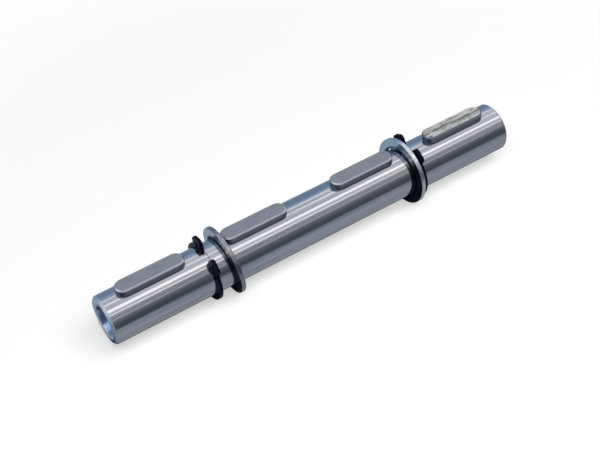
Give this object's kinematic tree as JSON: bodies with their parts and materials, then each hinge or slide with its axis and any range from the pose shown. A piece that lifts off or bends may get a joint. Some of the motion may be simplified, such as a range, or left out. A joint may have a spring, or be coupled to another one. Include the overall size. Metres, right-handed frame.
{
  "type": "double-ended shaft",
  "caption": "Keyed steel output shaft for a hollow-bore gear unit, both ends free, with circlips in grooves, loose support washers and a tapped centre hole in each end.",
  "frame": {"origin": "middle of the shaft's length, on its axis, which is the middle of the seat for the hollow bore", "axes": "+X along the shaft from the left end to the right end, +Z through the keys, +Y to the back"},
  "size_m": [0.128, 0.02, 0.02],
  "materials": {
    "ground_steel": "turned and ground, bright, with fine marks round the shaft",
    "key_steel": "cold-drawn, satin grey, with bright chamfers",
    "worn_key_steel": "cold-drawn, rubbed bright along the top with a darker streak",
    "black_spring_steel": "phosphated black, oiled",
    "washer_steel": "stamped and ground flat, bright rim"
  },
  "bodies": {
    "shaft_set": {"shaft": "ground_steel", "outer_key_left": "key_steel", "inner_key_left": "key_steel", "inner_key_right": "key_steel", "outer_key_right": "worn_key_steel", "circlip_left": "black_spring_steel", "circlip_right": "black_spring_steel"},
    "left_washer": {"washer_left": "washer_steel"},
    "right_washer": {"washer_right": "washer_steel"}
  },
  "joints": [
    {"name": "left_washer_slide", "type": "slide", "parent": "shaft_set", "child": "left_washer", "axis": [1, 0, 0], "range_m": [-0.0039, 0]},
    {"name": "right_washer_slide", "type": "slide", "parent": "shaft_set", "child": "right_washer", "axis": [1, 0, 0], "range_m": [-0.0031, 0.0006]}
  ]
}
